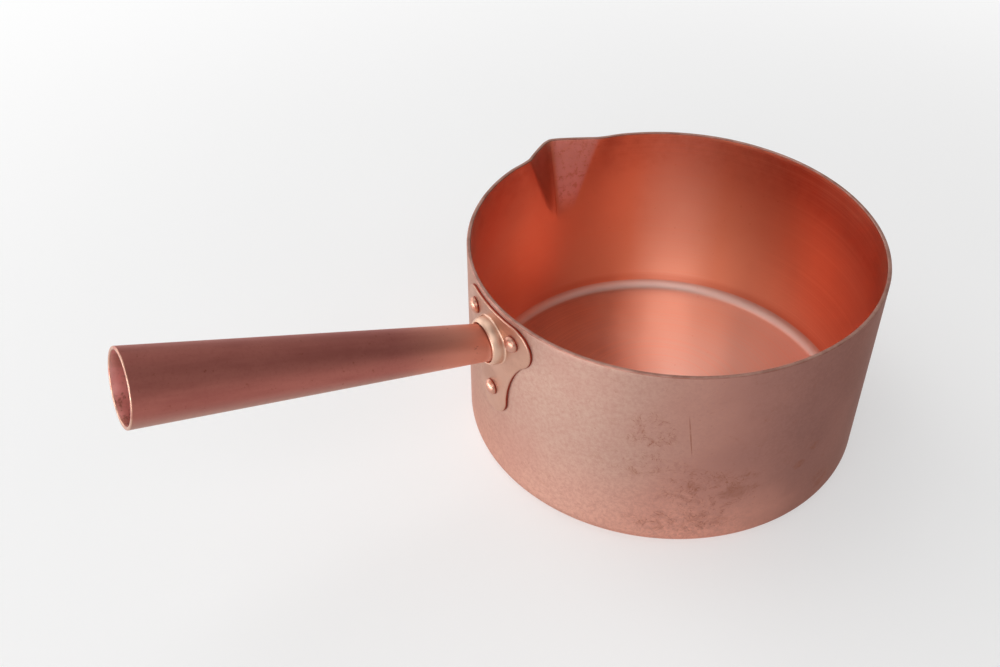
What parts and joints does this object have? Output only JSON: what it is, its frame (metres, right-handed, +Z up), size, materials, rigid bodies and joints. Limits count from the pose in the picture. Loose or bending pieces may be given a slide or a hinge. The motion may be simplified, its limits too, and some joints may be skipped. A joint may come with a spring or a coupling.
{
  "type": "sugar pan",
  "caption": "Straight-sided copper sugar pan with a flat base, a pouring lip pressed into the rim and a hollow conical handle held by a riveted plate.",
  "frame": {"origin": "middle of the base's underside, on the axis of the round wall", "axes": "+Z up along the bowl's axis, +X from the bowl along the handle, -Y towards the pouring lip"},
  "size_m": [0.2934, 0.168, 0.1178],
  "materials": {
    "bowl_copper": "satin copper outside, turned bright copper inside, used",
    "plate_copper": "satin copper",
    "handle_copper": "dulled satin copper with lengthwise streaks",
    "rivet_copper": "bright copper heads"
  },
  "bodies": {
    "root": {"pan_body": "bowl_copper", "handle_plate": "plate_copper", "handle_tube": "handle_copper", "rivet_left": "rivet_copper", "rivet_right": "rivet_copper", "rivet_bottom": "rivet_copper"}
  },
  "joints": []
}
